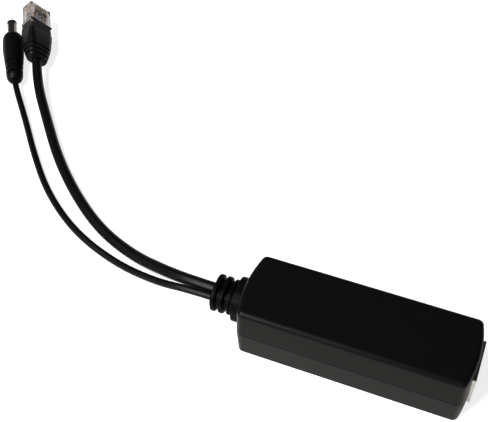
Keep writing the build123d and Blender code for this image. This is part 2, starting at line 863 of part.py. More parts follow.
for k in range(len(wire_rows_x)):
    start_z = cord_height + (k - 0.5) * dc_wire_spacing
    wire_path = arc_path(
        [
            (gland_inner_x, dc_cord_y, start_z),
            (gland_inner_x + wire_lead_out, dc_cord_y, start_z),
            (wire_rows_x[k], dc_pad_y, start_z - wire_drop[k]),
            (wire_rows_x[k], dc_pad_y, board_top),
        ],
        wire_bend,
    )
    save_piece(round_wire(wire_path, dc_wire_diameter), f"dc_wire_{k + 1}")


def corner_radii(points):
    """Arc radius for each corner of a route, so that each arc takes less than half of its shorter run."""
    corners = [Vector(*point) for point in points]
    radii = []
    for before, corner, after in zip(corners, corners[1:], corners[2:]):
        arriving = corner - before
        leaving = after - corner
        half_turn = radians(arriving.get_angle(leaving)) / 2
        radii.append(arc_share * min(arriving.length, leaving.length) / tan(half_turn))
    return radii


def heading(yaw, pitch):
    """Unit vector turned by yaw from +Y towards -X and raised by pitch."""
    level = cos(radians(pitch))
    return Vector(-sin(radians(yaw)) * level, cos(radians(yaw)) * level, sin(radians(pitch)))


# Where the plugs lie: the network plug's plane looks back from its nose, the DC plug's forward from its rear
plug_heading = heading(plug_yaw, plug_pitch)
plug_side = Vector(cos(radians(plug_yaw)), sin(radians(plug_yaw)), 0)
plug_across = plug_side * cos(radians(plug_roll)) + plug_heading.cross(plug_side) * sin(radians(plug_roll))
plug_plane = Plane(origin=plug_nose, x_dir=plug_across, z_dir=-plug_heading)
plug_side_plane = Plane(origin=plug_nose, x_dir=plug_plane.z_dir, z_dir=-plug_plane.x_dir)
boot_rear = Vector(*plug_nose) - plug_heading * boot_end
dc_heading = heading(dc_plug_yaw, dc_plug_pitch)
dc_side = Vector(cos(radians(dc_plug_yaw)), sin(radians(dc_plug_yaw)), 0)
dc_rear = Vector(*dc_plug_rear)
dc_plane = Plane(origin=dc_rear, x_dir=dc_side, z_dir=dc_heading)
dc_profile_plane = Plane(origin=dc_rear, x_dir=dc_heading, z_dir=dc_side)

# Free cords, from the mouth of the strain relief to the rear of each plug
data_route = [
    (gland_mouth_x, data_cord_y, cord_height),
    *data_cord_points,
    boot_rear - plug_heading * data_cord_lead_in,
    boot_rear,
]
dc_route = [
    (gland_mouth_x, dc_cord_y, cord_height),
    *dc_cord_points,
    dc_rear - dc_heading * dc_cord_lead_in,
    dc_rear,
]
cord_routes = (("data_cord", data_cord_diameter, data_route), ("dc_cord", dc_cord_diameter, dc_route))
for label, diameter, points in cord_routes:
    radii = corner_radii(points)
    cord_path = arc_path(points, radii)
    cord = round_wire(cord_path, diameter)
    save_piece(cord, label)
    run = sum(edge.length for edge in cord_path.edges())
    section = pi * diameter**2 / 4
    print(label, "route", [tuple(round(v, 2) for v in Vector(*point)) for point in points])
    print(label, "radii", [round(radius, 1) for radius in radii], "length", round(run, 2))
    print(label, "volume over section x length", round(cord.part.volume / (section * run), 4))

# Network plug body: clear block with eight blade slots, a slot for the wires, a rear chamber and the latch
blade_x = [(k - (contact_count - 1) / 2) * contact_pitch for k in range(contact_count)]
plug_half_height = plug_height / 2
blade_bottom = plug_half_height - blade_depth - blade_height
wire_row_y = blade_bottom - plug_wire_diameter / 2
plug_chamber_height = data_cord_diameter + 2 * slip_gap
latch_slope = latch_rise / (latch_reach - latch_root)
latch_shoulder_y = -plug_half_height - latch_slope * (latch_shoulder - latch_root)
latch_inner_root = latch_root + latch_thickness / latch_slope

with BuildPart() as plug_body:
    with BuildSketch(plug_plane):
        RectangleRounded(plug_width, plug_height, plug_edge)
    extrude(amount=plug_length)
    with BuildSketch(plug_side_plane.offset(-latch_width / 2)):
        Polygon(
            (latch_root, -plug_half_height + plug_edge),
            (latch_root, -plug_half_height),
            (latch_shoulder, latch_shoulder_y),
            (latch_shoulder, latch_shoulder_y + latch_thickness),
            (latch_inner_root, -plug_half_height),
            (latch_inner_root, -plug_half_height + plug_edge),
            align=None,
        )
    extrude(amount=latch_width)
    with BuildSketch(plug_side_plane.offset(-latch_tail_width / 2)):
        Polygon(
            (latch_root, -plug_half_height + plug_edge),
            (latch_root, -plug_half_height),
            (latch_reach, -plug_half_height - latch_rise),
            (latch_reach, -plug_half_height - latch_rise + latch_thickness),
            (latch_inner_root, -plug_half_height),
            (latch_inner_root, -plug_half_height + plug_edge),
            align=None,
        )
    extrude(amount=latch_tail_width)
    with BuildSketch(plug_plane):
        with Locations([(x, (blade_bottom + plug_height) / 2) for x in blade_x]):
            Rectangle(blade_thickness + 2 * blade_slot_gap, plug_height - blade_bottom)
    extrude(amount=blade_setback + blade_length + blade_slot_gap, mode=Mode.SUBTRACT)
    with BuildSketch(plug_plane.offset(plug_wire_start)):
        with Locations((0, wire_row_y)):
            Rectangle(contact_count * contact_pitch, plug_wire_diameter)
    extrude(amount=plug_chamber_front - plug_wire_start, mode=Mode.SUBTRACT)
    with BuildSketch(plug_plane.offset(plug_chamber_front)):
        Rectangle(plug_chamber_width, plug_chamber_height)
    extrude(amount=plug_length - plug_chamber_front, mode=Mode.SUBTRACT)
save_piece(plug_body, "plug_body")

# Plug contacts: eight gilt blades standing in their slots
for k in range(contact_count):
    with BuildPart() as plug_contact:
        with BuildSketch(plug_plane.offset(blade_setback)):
            with Locations((blade_x[k], blade_bottom + blade_height / 2)):
                Rectangle(blade_thickness, blade_height)
        extrude(amount=blade_length)
    save_piece(plug_contact, f"plug_contact_{k + 1}")

# Insulated wires of the plug, side by side under the blades
with BuildPart() as plug_wires:
    with BuildSketch(plug_plane.offset(plug_wire_start)):
        with Locations([(x, wire_row_y) for x in blade_x]):
            Circle(plug_wire_diameter / 2)
    extrude(amount=plug_jacket_front - plug_wire_start)
save_piece(plug_wires, "plug_wires")

# End of the thick cord inside the plug and its boot
with BuildPart() as plug_cable_end:
    with BuildSketch(plug_plane.offset(plug_jacket_front)):
        Circle(data_cord_diameter / 2)
    extrude(amount=boot_end - plug_jacket_front)
save_piece(plug_cable_end, "plug_cable_end")

# Boot: tapered rubber sleeve with ring grooves, and flaps over the plug, notched behind their front bar
boot_stations = (boot_body_start, boot_widest, boot_end)
boot_front_size, boot_widest_size = [
    (plug_width + 2 * side_wall, plug_height + 2 * broad_wall)
    for side_wall, broad_wall in (boot_front_walls, boot_widest_walls)
]
boot_end_size = [data_cord_diameter + 2 * end_wall for end_wall in boot_end_walls]
boot_sizes = (boot_front_size, boot_widest_size, boot_end_size)
flap_middle_y = plug_half_height + boot_flap_thickness / 2
side_flap_x = (plug_width + boot_side_thickness) / 2
with BuildPart() as plug_boot:
    for station, section, corner in zip(boot_stations, boot_sizes, boot_corners):
        with BuildSketch(plug_plane.offset(station)):
            RectangleRounded(*section, corner)
    loft()
    for k in range(boot_groove_count):
        station = boot_groove_first + k * boot_groove_pitch
        share = (station - boot_widest) / (boot_end - boot_widest)
        groove_width, groove_height = [
            wide + share * (narrow - wide) - 2 * boot_groove_depth
            for wide, narrow in zip(boot_widest_size, boot_end_size)
        ]
        with BuildSketch(plug_plane.offset(station)):
            Rectangle(2 * plug_width, 2 * plug_width)
            RectangleRounded(groove_width, groove_height, boot_corners[1], mode=Mode.SUBTRACT)
        extrude(amount=boot_groove_width, mode=Mode.SUBTRACT)
    with BuildSketch(plug_plane.offset(boot_start)):
        with Locations((0, flap_middle_y), (0, -flap_middle_y)):
            Rectangle(plug_width, boot_flap_thickness)
    extrude(amount=boot_widest - boot_start)
    for side, reach, notch_length in boot_notches:
        with BuildSketch(plug_plane.offset(boot_start + boot_bar_length)):
            with Locations((side * plug_width / 2, 0)):
                Rectangle(2 * reach, 2 * plug_width)
        extrude(amount=notch_length, mode=Mode.SUBTRACT)
    with BuildSketch(plug_plane.offset(boot_side_start)):
        with Locations((side_flap_x, 0), (-side_flap_x, 0)):
            Rectangle(boot_side_thickness, plug_height - 2 * plug_edge)
    extrude(amount=boot_widest - boot_side_start)
    with BuildSketch(plug_plane.offset(boot_start)):
        RectangleRounded(plug_width, plug_height, plug_edge)
    extrude(amount=plug_length - boot_start, mode=Mode.SUBTRACT)
    with BuildSketch(plug_plane.offset(boot_start)):
        Circle(data_cord_diameter / 2)
    extrude(amount=boot_end - boot_start, mode=Mode.SUBTRACT)
save_piece(plug_boot, "plug_boot")


# DC plug grip: turned shape with ring grooves near the cord
dc_axis = Axis(dc_rear, dc_heading)
dc_grip_profile = [(share * dc_grip_length, radius) for share, radius in dc_grip_shape]
barrel_tip = dc_grip_length + barrel_length
barrel_inner_radius = barrel_radius - barrel_wall


def grip_radius(distance):
    """Radius of the grip at a distance from its rear, straight between the points of its profile."""
    for (near, near_radius), (far, far_radius) in zip(dc_grip_profile, dc_grip_profile[1:]):
        if near <= distance <= far:
            return near_radius + (far_radius - near_radius) * (distance - near) / (far - near)


with BuildPart() as dc_plug_grip:
    with BuildSketch(dc_profile_plane):
        with BuildLine():
            Line((dc_grip_length, 0), (dc_grip_length, dc_grip_front_radius))
            Spline((dc_grip_length, dc_grip_front_radius), *reversed(dc_grip_profile))
            Line(dc_grip_profile[0], (0, 0))
            Line((0, 0), (dc_grip_length, 0))
        make_face()
        for k in range(dc_groove_count):
            groove_middle = dc_groove_first + k * dc_groove_pitch
            groove_floor = grip_radius(groove_middle) - dc_groove_depth
            with Locations((groove_middle, groove_floor)):
                Rectangle(
                    dc_groove_width,
                    dc_grip_front_radius,
                    align=(Align.CENTER, Align.MIN),
                    mode=Mode.SUBTRACT,
                )
    revolve(axis=dc_axis)
    with BuildSketch(dc_plane.offset(dc_grip_length - barrel_root)):
        Circle(barrel_inner_radius)
    extrude(amount=barrel_root, mode=Mode.SUBTRACT)
save_piece(dc_plug_grip, "dc_plug_grip")

# DC plug barrel: outer sleeve, insulator with its tip collar, and the inner socket for the centre pin
root_plane = dc_plane.offset(dc_grip_length - barrel_root)
with BuildPart() as dc_plug_sleeve:
    with BuildSketch(dc_plane.offset(dc_grip_length)):
        Circle(barrel_radius)
        Circle(barrel_inner_radius, mode=Mode.SUBTRACT)
    extrude(amount=barrel_length - tip_ring_length)
save_piece(dc_plug_sleeve, "dc_plug_sleeve")

with BuildPart() as dc_plug_insulator:
    with BuildSketch(root_plane):
        Circle(barrel_inner_radius)
    extrude(amount=barrel_root + barrel_length - tip_ring_length)
    with BuildSketch(dc_plane.offset(barrel_tip - tip_ring_length)):
        Circle(barrel_radius)
    extrude(amount=tip_ring_length)
    with BuildSketch(root_plane):
        Circle(pin_socket_outer_radius)
    extrude(amount=barrel_root + barrel_length, mode=Mode.SUBTRACT)
save_piece(dc_plug_insulator, "dc_plug_insulator")

with BuildPart() as dc_plug_pin_socket:
    with BuildSketch(root_plane):
        Circle(pin_socket_outer_radius)
    extrude(amount=barrel_root + barrel_length - pin_socket_setback)
    with BuildSketch(dc_plane.offset(barrel_tip - pin_socket_setback - pin_socket_depth)):
        Circle(pin_socket_bore_radius)
    extrude(amount=pin_socket_depth, mode=Mode.SUBTRACT)
save_piece(dc_plug_pin_socket, "dc_plug_pin_socket")
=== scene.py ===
# %% [markdown]
# # PoE splitter
# A slim black plastic case splits the power out of a network cable. A shielded jack sits in one
# end, and two cords leave through a ribbed strain relief at the other: a thick one with a clear
# network plug and a thin one with a DC plug. The solid model is already there, packed as a frame,
# so this lesson gives it its looks. Everything is in metres, and the case stands on z = 0 with its
# jack towards +X.

# %% Load the frame
import bpy
from math import cos, radians, sin
from mathutils import Matrix, Vector


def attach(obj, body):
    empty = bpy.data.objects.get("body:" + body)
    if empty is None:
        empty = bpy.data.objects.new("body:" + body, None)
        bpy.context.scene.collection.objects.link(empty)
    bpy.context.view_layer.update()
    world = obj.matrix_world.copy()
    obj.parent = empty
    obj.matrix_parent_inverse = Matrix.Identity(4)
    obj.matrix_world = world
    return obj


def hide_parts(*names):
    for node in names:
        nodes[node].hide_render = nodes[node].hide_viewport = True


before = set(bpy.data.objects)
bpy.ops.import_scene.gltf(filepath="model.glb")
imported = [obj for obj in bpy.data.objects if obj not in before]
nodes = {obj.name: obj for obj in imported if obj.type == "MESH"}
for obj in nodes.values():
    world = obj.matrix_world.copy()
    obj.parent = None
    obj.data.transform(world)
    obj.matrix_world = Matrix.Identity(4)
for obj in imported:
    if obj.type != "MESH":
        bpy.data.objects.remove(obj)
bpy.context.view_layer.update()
print("nodes in the frame:", len(nodes))

# %% [markdown]
# ## Camera
# The photograph looks down on the case from its near side, with the plugs far away at the upper
# left. A camera is easiest to reason about as an angle round the object, a height, a distance and a
# point it looks at. The small roll is part of the photograph, so the camera is turned about its own
# line of sight at the end.

# %% Place the camera
view_azimuth = radians(23.04)
view_elevation = radians(49.62)
view_roll = radians(-1.95)
view_distance = 0.3568
view_target = Vector((-0.0603, 0.0471, 0))
lens_length = 66.03
sensor_width = 36

backward = Vector((
    sin(view_azimuth) * cos(view_elevation),
    -cos(view_azimuth) * cos(view_elevation),
    sin(view_elevation),
))
camera_data = bpy.data.cameras.new("camera")
camera_data.lens = lens_length
camera_data.sensor_width = sensor_width
camera = bpy.data.objects.new("camera", camera_data)
bpy.context.scene.collection.objects.link(camera)
aim = (-backward).to_track_quat("-Z", "Y").to_matrix().to_4x4()
camera.matrix_world = (
    Matrix.Translation(view_target + backward * view_distance) @ aim @ Matrix.Rotation(view_roll, 4, "Z")
)
bpy.context.scene.camera = camera
print("camera at", [round(v, 3) for v in camera.matrix_world.translation])

# %% [markdown]
# The photograph has hard whites and deep blacks. Blender's default view transform rolls both off
# like film, so white would come out grey. The plain one shows each value as it is.

# %% Plain view of the values
bpy.context.scene.view_settings.view_transform = "Standard"
print("view transform:", bpy.context.scene.view_settings.view_transform)

# %% [markdown]
# ## Cords
# A free cord is one smooth line that gravity has laid down. A NURBS curve suits it, because a few
# control points pull the line round in long easy bends, the way a jacket of soft PVC lies. The
# bevel turns the line into a round cord as thick as its points say: a bevel depth of one takes
# their radius as it is, which also keeps the box round the curve tight. The order and the clamped
# ends are set after the points, since the spline forgets them otherwise.

# %% A helper that lays a cord
route_steps = 24
round_steps = 7


def lay_cord(name, points, diameter):
    """A round cord along a NURBS route that starts and ends at its first and last point."""
    line = bpy.data.curves.new(name, "CURVE")
    line.dimensions = "3D"
    spline = line.splines.new("NURBS")
    spline.points.add(len(points) - 1)
    for point, place in zip(spline.points, points):
        point.co = (*place, 1)
        point.radius = diameter / 2
    spline.order_u = 3
    spline.use_endpoint_u = True
    line.resolution_u = route_steps
    line.bevel_depth = 1
    line.bevel_resolution = round_steps
    cord = bpy.data.objects.new(name, line)
    bpy.context.scene.collection.objects.link(cord)
    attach(cord, "root")
    return cord


# %% The thick network cord
data_route = [
    (-0.0521, 0.0013, 0.0108),
    (-0.0620, 0.0013, 0.0108),
    (-0.0755, 0.0043, 0.0076),
    (-0.0910, 0.0094, 0.0032),
    (-0.1085, 0.0168, 0.0022),
    (-0.1260, 0.0292, 0.0022),
    (-0.1435, 0.0454, 0.0022),
    (-0.1595, 0.0642, 0.0024),
    (-0.17407, 0.08166, 0.00439),
    (-0.18084, 0.09382, 0.00585),
]
data_cord = lay_cord("network_cord", data_route, 0.0044)
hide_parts("data_cord")
plug_pieces = ["plug_cable_end", "plug_boot", "plug_body", "plug_wires"]
plug_pieces += [f"plug_contact_{k + 1}" for k in range(8)]
print("network cord:", len(data_route), "control points")

# %% The thin power cord
dc_route = [
    (-0.0521, -0.0024, 0.0108),
    (-0.0620, -0.0024, 0.0108),
    (-0.0752, -0.0011, 0.0070),
    (-0.0956, 0.0043, 0.0020),
    (-0.1178, 0.0128, 0.0014),
    (-0.1381, 0.0270, 0.0014),
    (-0.1547, 0.0445, 0.0014),
    (-0.1670, 0.0593, 0.0016),
    (-0.18311, 0.07747, 0.00339),
    (-0.1847, 0.0800, 0.0036),
]
dc_cord = lay_cord("power_cord", dc_route, 0.0028)
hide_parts("dc_cord")
print("power cord:", len(dc_route), "control points")

# %% [markdown]
# ## Helpers for shader nodes
# A finish is a Principled shader with a few nodes in front of it. Most of them are sums, masks,
# blends and directions, so a short helper for each adds such a node and wires it up. A socket that
# is given is linked, and a number is set.

# %% Sums, masks and blends
def feed(tree, socket, value):
    """Links a socket to another one, or sets it to a number or a colour."""
    if isinstance(value, bpy.types.NodeSocket):
        tree.links.new(value, socket)
    else:
        socket.default_value = value


def reckon(tree, operation, *values):
    """A sum of one to three values."""
    node = tree.nodes.new("ShaderNodeMath")
    node.operation = operation
    for socket, value in zip(node.inputs, values):
        feed(tree, socket, value)
    return node.outputs[0]


def mask(tree, value, low, high, at_low=0.0, at_high=1.0):
    """A smooth step from one level to another as a value goes from low to high."""
    node = tree.nodes.new("ShaderNodeMapRange")
    node.interpolation_type = "SMOOTHSTEP"
    for name, level in (
        ("Value", value), ("From Min", low), ("From Max", high), ("To Min", at_low), ("To Max", at_high),
    ):
        feed(tree, node.inputs[name], level)
    return node.outputs["Result"]


def blend(tree, amount, first, second):
    """A colour between two, by an amount from zero to one."""
    node = tree.nodes.new("ShaderNodeMix")
    node.data_type = "RGBA"
    feed(tree, node.inputs["Factor"], amount)
    for slot, colour in ((6, first), (7, second)):
        feed(tree, node.inputs[slot], (*colour, 1) if isinstance(colour, tuple) else colour)
    return node.outputs[2]


def along(tree, vector, direction):
    """How far a vector reaches along a direction."""
    node = tree.nodes.new("ShaderNodeVectorMath")
    node.operation = "DOT_PRODUCT"
    tree.links.new(vector, node.inputs[0])
    feed(tree, node.inputs[1], direction)
    return node.outputs["Value"]


def object_place(tree):
    """The place on the piece, in metres."""
    return tree.nodes.new("ShaderNodeTexCoord").outputs["Object"]


def facing(tree):
    """The direction the surface faces."""
    return tree.nodes.new("ShaderNodeTexCoord").outputs["Normal"]


print("node helpers ready")

# %% [markdown]
# ## Two shared surfaces
# The fine grain of a moulded part is spark-eroded into the steel of the mould, and every piece from
# it carries the same grain. A node group can play the mould: it has inputs for how fine and how
# deep the grain is and how much the gloss varies, and many finishes share it. It gives back a
# roughness, a normal and a mask for stray dust.

# %% Moulded grain
full_relief = 0.0001
smudge_scale, speck_scale, patch_scale, tarnish_scale = 90, 1400, 60, 220


def new_group(name, inputs, outputs):
    """An empty node group with its sockets."""
    group = bpy.data.node_groups.new(name, "ShaderNodeTree")
    for socket_name, kind, default in inputs:
        socket = group.interface.new_socket(socket_name, in_out="INPUT", socket_type=kind)
        socket.default_value = default
    for socket_name, kind in outputs:
        group.interface.new_socket(socket_name, in_out="OUTPUT", socket_type=kind)
    return group, group.nodes.new("NodeGroupInput").outputs, group.nodes.new("NodeGroupOutput").inputs


def noise(tree, place, scale, detail):
    """Cloudy noise from zero to one."""
    node = tree.nodes.new("ShaderNodeTexNoise")
    tree.links.new(place, node.inputs["Vector"])
    feed(tree, node.inputs["Scale"], scale)
    node.inputs["Detail"].default_value = detail
    return node.outputs["Fac"]


def relief(tree, height, depth):
    """A normal with relief from a height; depth one gives the full relief."""
    node = tree.nodes.new("ShaderNodeBump")
    node.inputs["Distance"].default_value = full_relief
    feed(tree, node.inputs["Strength"], depth)
    tree.links.new(height, node.inputs["Height"])
    return node.outputs["Normal"]


number, direction_kind = "NodeSocketFloat", "NodeSocketVector"
moulded_grain, given, result = new_group(
    "moulded grain",
    [
        ("Scale", number, 2500.0), ("Depth", number, 0.1), ("Roughness", number, 0.45),
        ("Variation", number, 0.1),
    ],
    [("Roughness", number), ("Dust", number), ("Normal", direction_kind)],
)
tree = moulded_grain
place = object_place(tree)
grain = noise(tree, place, given["Scale"], 3)
smudge = reckon(tree, "SUBTRACT", noise(tree, place, smudge_scale, 4), 0.5)
uneven = reckon(tree, "MULTIPLY_ADD", smudge, given["Variation"], given["Roughness"])
speck = mask(tree, noise(tree, place, speck_scale, 1), 0.72, 0.78)
patch = mask(tree, noise(tree, place, patch_scale, 2), 0.45, 0.65)
tree.links.new(uneven, result["Roughness"])
tree.links.new(reckon(tree, "MULTIPLY", speck, patch), result["Dust"])
tree.links.new(relief(tree, grain, given["Depth"]), result["Normal"])
print("grain gives", [item.name for item in tree.interface.items_tree if item.in_out == "OUTPUT"])

# %% [markdown]
# Worked metal is never the same in all directions. Sheet is rolled and shows fine streaks along the
# roll, and a turned barrel shows rings round its axis. Both are noise that is stretched: the place
# is scaled by one number and then, along one direction, by another. Streaks need less along the
# direction, rings more.

# %% Worked metal
worked_metal, given, result = new_group(
    "worked metal",
    [
        ("Direction", direction_kind, (1, 0, 0)), ("Across", number, 3000.0), ("Along", number, 100.0),
        ("Depth", number, 0.05), ("Roughness", number, 0.3), ("Variation", number, 0.1),
    ],
    [("Roughness", number), ("Tarnish", number), ("Normal", direction_kind)],
)
tree = worked_metal
place = object_place(tree)
scaled = tree.nodes.new("ShaderNodeVectorMath")
scaled.operation = "SCALE"
tree.links.new(place, scaled.inputs[0])
feed(tree, scaled.inputs["Scale"], given["Across"])
pulled = tree.nodes.new("ShaderNodeVectorMath")
pulled.operation = "SCALE"
tree.links.new(given["Direction"], pulled.inputs[0])
reach = along(tree, place, given["Direction"])
change = reckon(tree, "SUBTRACT", given["Along"], given["Across"])
feed(tree, pulled.inputs["Scale"], reckon(tree, "MULTIPLY", reach, change))
stretched = tree.nodes.new("ShaderNodeVectorMath")
stretched.operation = "ADD"
tree.links.new(scaled.outputs[0], stretched.inputs[0])
tree.links.new(pulled.outputs[0], stretched.inputs[1])
streak = noise(tree, stretched.outputs[0], 1.0, 3)
off_centre = reckon(tree, "SUBTRACT", streak, 0.5)
uneven = reckon(tree, "MULTIPLY_ADD", off_centre, given["Variation"], given["Roughness"])
tree.links.new(uneven, result["Roughness"])
tree.links.new(mask(tree, noise(tree, place, tarnish_scale, 4), 0.5, 0.75), result["Tarnish"])
tree.links.new(relief(tree, streak, given["Depth"]), result["Normal"])
print("metal gives", [item.name for item in tree.interface.items_tree if item.in_out == "OUTPUT"])

# %% [markdown]
# Two makers, for plastic and for metal, put these groups in front of a Principled shader. A number
# that is the same all over a piece, such as how strongly it reflects, is set on the shader itself;
# only what changes from place to place comes by a wire.

# %% Makers of finishes
dust_colour = (0.35, 0.33, 0.3)


def new_finish(name, specular=0.5, metallic=0.0):
    """A material and its shader."""
    finish = bpy.data.materials.new(name)
    finish.use_nodes = True
    shader = finish.node_tree.nodes["Principled BSDF"]
    shader.inputs["Specular IOR Level"].default_value = specular
    shader.inputs["Metallic"].default_value = metallic
    return finish, shader, finish.node_tree


def use_group(tree, group, settings):
    """A copy of a node group with its inputs set."""
    node = tree.nodes.new("ShaderNodeGroup")
    node.node_tree = group
    for name, value in settings.items():
        feed(tree, node.inputs[name], value)
    return node.outputs


def wear_surface(tree, shader, surface):
    """Gives a shader the roughness and the normal of one of the two groups."""
    for name in ("Roughness", "Normal"):
        tree.links.new(surface[name], shader.inputs[name])


def moulded(tree, scale, depth, roughness, variation):
    """The moulded grain with its inputs set."""
    return use_group(
        tree, moulded_grain, {"Scale": scale, "Depth": depth, "Roughness": roughness, "Variation": variation},
    )


def plastic(name, colour, roughness, scale, depth, variation=0.15, specular=0.5, dust=0.0):
    """A moulded finish; colour may be a plain one or a function that builds one from the nodes."""
    finish, shader, tree = new_finish(name, specular)
    grain = moulded(tree, scale, depth, roughness, variation)
    shade = colour(tree) if callable(colour) else colour
    if dust:
        shade = blend(tree, reckon(tree, "MULTIPLY", grain["Dust"], dust), shade, dust_colour)
    feed(tree, shader.inputs["Base Color"], (*shade, 1) if isinstance(shade, tuple) else shade)
    wear_surface(tree, shader, grain)
    return finish


def metal(name, colour, roughness, direction, across, along_it, depth, variation, tarnish):
    """A worked metal; tarnish is the colour of its dull patches."""
    finish, shader, tree = new_finish(name, metallic=1.0)
    surface = use_group(tree, worked_metal, {
        "Direction": direction, "Across": across, "Along": along_it, "Depth": depth, "Roughness": roughness,
        "Variation": variation,
    })
    tree.links.new(blend(tree, surface["Tarnish"], colour, tarnish), shader.inputs["Base Color"])
    wear_surface(tree, shader, surface)
    return finish


def dress(finish, *names):
    """Gives a finish to objects by name."""
    for name in names:
        piece = bpy.data.objects[name]
        piece.data.materials.clear()
        piece.data.materials.append(finish)
    print(finish.name, "on", len(names), "pieces")


# %% [markdown]
# ## Case
# The two shells are black satin plastic. The grain is much finer than a millimetre, so from afar it
# only softens the reflections, and the broad unevenness of the gloss is what the eye sees. The
# black is deep and reflects little, so the lid stays nearly black while the near side picks up the
# white table.

# %% Case finish
case_finish = plastic(
    "satin black plastic", (0.0042, 0.0041, 0.004), 0.3, scale=2600, depth=0.12, specular=0.1, dust=0.05,
)
dress(case_finish, "lower_shell", "upper_shell")

# %% [markdown]
# ## Rubber, jackets and inner black parts
# The strain relief is moulded round both cords in soft PVC, and so are the boot and the grip round
# their plugs. Soft PVC is a little duller than the case. The jackets are extruded: they are
# smoother, so a long soft highlight runs along them.

# %% Soft black finishes
gland_finish = plastic(
    "strain relief rubber", (0.0026, 0.0026, 0.0025), 0.42, scale=1800, depth=0.1, specular=0.04, dust=0.1,
)
boot_finish = plastic(
    "boot rubber", (0.0042, 0.0042, 0.0041), 0.4, scale=2200, depth=0.1, specular=0.27, dust=0.1,
)
grip_finish = plastic(
    "grip plastic", (0.003, 0.003, 0.003), 0.42, scale=2400, depth=0.12, specular=0.12, dust=0.06,
)
jacket_finish = plastic(
    "cord jacket", (0.003, 0.003, 0.003), 0.36, scale=900, depth=0.05, variation=0.25, specular=0.16,
    dust=0.1,
)
dress(gland_finish, "cable_gland")
dress(boot_finish, "plug_boot")
dress(grip_finish, "dc_plug_grip")
dress(jacket_finish, "network_cord", "power_cord", "plug_cable_end")

# %% Hard black inner parts
nylon = plastic("black nylon", (0.006, 0.006, 0.006), 0.5, scale=3200, depth=0.15, dust=0.04)
carrier_finish = plastic("carrier resin", (0.012, 0.012, 0.013), 0.42, scale=3000, depth=0.08)
dress(nylon, "jack_housing", "dc_plug_insulator", "transformer_bobbin")
dress(carrier_finish, "jack_contact_carrier")

# %% [markdown]
# ## Jack metal and contacts
# The shield is tinned sheet, rolled along the jack before it was folded, with slightly dull
# patches. The contacts are stamped from thin strip and gilt over nickel: their flat sides show the
# strip's streaks.

# %% Tin and gilt
tinned_steel = metal(
    "tinned steel", (0.6, 0.59, 0.56), 0.22, (1, 0, 0), 2600.0, 160.0, depth=0.04, variation=0.2,
    tarnish=(0.4, 0.38, 0.34),
)
dress(tinned_steel, "jack_shield")
gilt = metal(
    "gilt contact", (0.95, 0.7, 0.36), 0.46, (0, 0, 1), 5200.0, 500.0, depth=0.05, variation=0.15,
    tarnish=(0.66, 0.42, 0.16),
)
dress(gilt, *[f"jack_contact_{k + 1}" for k in range(8)], *[f"plug_contact_{k + 1}" for k in range(8)])

# %% [markdown]
# ## DC plug
# The barrel is turned brass with a nickel plate. Fine rings from the lathe run round its axis,
# which lies at the plug's own angle on the table, so that direction is worked out first and given
# to the metal.

# %% Barrel
def heading(yaw, pitch):
    """The direction of a plug that is turned on the table by yaw and tipped up by pitch, in degrees."""
    level = cos(radians(pitch))
    return Vector((-sin(radians(yaw)) * level, cos(radians(yaw)) * level, sin(radians(pitch))))


dc_yaw, dc_pitch = 32.2, 4.0
nickel = metal(
    "nickel plate", (0.66, 0.62, 0.56), 0.2, tuple(heading(dc_yaw, dc_pitch)), 300.0, 9000.0,
    depth=0.06, variation=0.16, tarnish=(0.5, 0.44, 0.36),
)
dress(nickel, "dc_plug_sleeve", "dc_plug_pin_socket")

# %% [markdown]
# ## Network plug
# The body is clear polycarbonate. The light passes through several walls, each a touch grey, so the
# whole reads greyer than a single wall would. Faint waves from the mould flow keep its reflections
# from being too straight.

# %% Clear body
clear, clear_shader, tree = new_finish("clear polycarbonate")
clear_shader.inputs["Base Color"].default_value = (0.7, 0.67, 0.66, 1)
clear_shader.inputs["Transmission Weight"].default_value = 0.88
clear_shader.inputs["IOR"].default_value = 1.58
wear_surface(tree, clear_shader, moulded(tree, scale=420.0, depth=0.15, roughness=0.05, variation=0.04))
dress(clear, "plug_body")

# %% [markdown]
# Through the clear body the eight insulated wires show side by side, in the colours of the network
# standard. They are one piece, so the colour has to follow the place across the plug. The plug is
# turned, tipped and rolled on the table: its across direction comes from those three angles, and a
# ramp with hard steps gives each wire its colour.

# %% Wires in the plug
orange, green, blue, brown = (0.8, 0.22, 0.05), (0.05, 0.3, 0.1), (0.07, 0.14, 0.45), (0.2, 0.09, 0.045)
pale_orange, pale_green = (0.8, 0.5, 0.3), (0.5, 0.7, 0.48)
pale_blue, pale_brown = (0.45, 0.55, 0.78), (0.55, 0.44, 0.36)
wire_order = (pale_orange, orange, pale_green, blue, pale_blue, green, pale_brown, brown)

plug_nose = Vector((-0.1968, 0.1225, 0.0093))
plug_yaw, plug_pitch, plug_roll = 29.1, 6.0, radians(49.0)
plug_heading = heading(plug_yaw, plug_pitch)
plug_side = Vector((cos(radians(plug_yaw)), sin(radians(plug_yaw)), 0))
plug_across = plug_side * cos(plug_roll) + plug_heading.cross(plug_side) * sin(plug_roll)
wire_count = len(wire_order)
ribbon_width = wire_count * 0.00102


def wire_colours(tree):
    """One colour for each wire across the plug."""
    reach = along(tree, object_place(tree), tuple(plug_across))
    ribbon_start = 0.5 - plug_nose.dot(plug_across) / ribbon_width
    share = reckon(tree, "MULTIPLY_ADD", reach, 1 / ribbon_width, ribbon_start)
    ramp = tree.nodes.new("ShaderNodeValToRGB")
    ramp.color_ramp.interpolation = "CONSTANT"
    stops = ramp.color_ramp.elements
    stops.remove(stops[1])
    stops[0].color = (*wire_order[0], 1)
    for k, colour in enumerate(wire_order[1:]):
        stops.new((k + 1) / wire_count).color = (*colour, 1)
    tree.links.new(share, ramp.inputs[0])
    return ramp.outputs[0]


dress(plastic("plug wires", wire_colours, 0.35, scale=1500, depth=0.05), "plug_wires")

